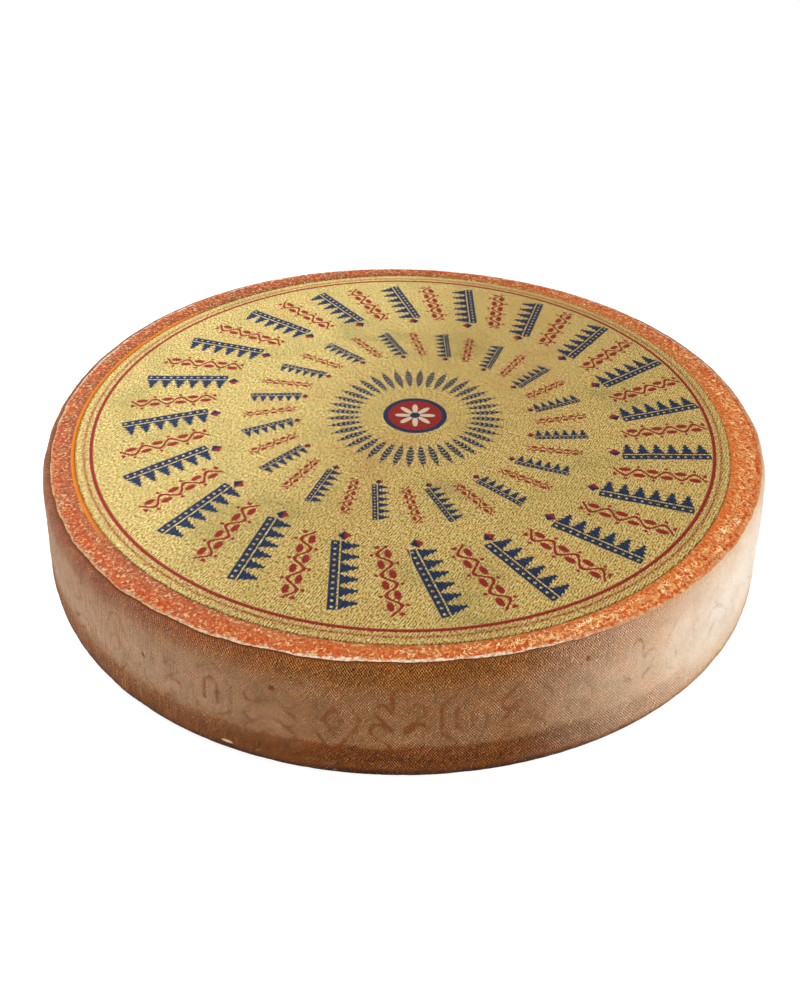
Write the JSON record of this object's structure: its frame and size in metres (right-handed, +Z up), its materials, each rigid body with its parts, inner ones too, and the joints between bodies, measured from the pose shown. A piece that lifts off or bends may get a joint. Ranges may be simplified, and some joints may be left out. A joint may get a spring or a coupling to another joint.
{
  "type": "gruyere cheese wheel",
  "caption": "Whole round wheel of hard mountain cheese with a bowed brown rind, a bare orange rim and a round printed sheet pressed into its top face.",
  "frame": {"origin": "middle of the underside, on the surface the wheel stands on", "axes": "+Z up through the thickness of the wheel, -Y towards the side that is seen first"},
  "size_m": [0.6421, 0.6493, 0.0951],
  "materials": {
    "rind": "matt, cloth-marked, washed rind",
    "printed_sheet": "matt gold print with a pressed cloth weave"
  },
  "bodies": {
    "root": {"cheese_wheel": "rind", "top_sheet": "printed_sheet"}
  },
  "joints": []
}
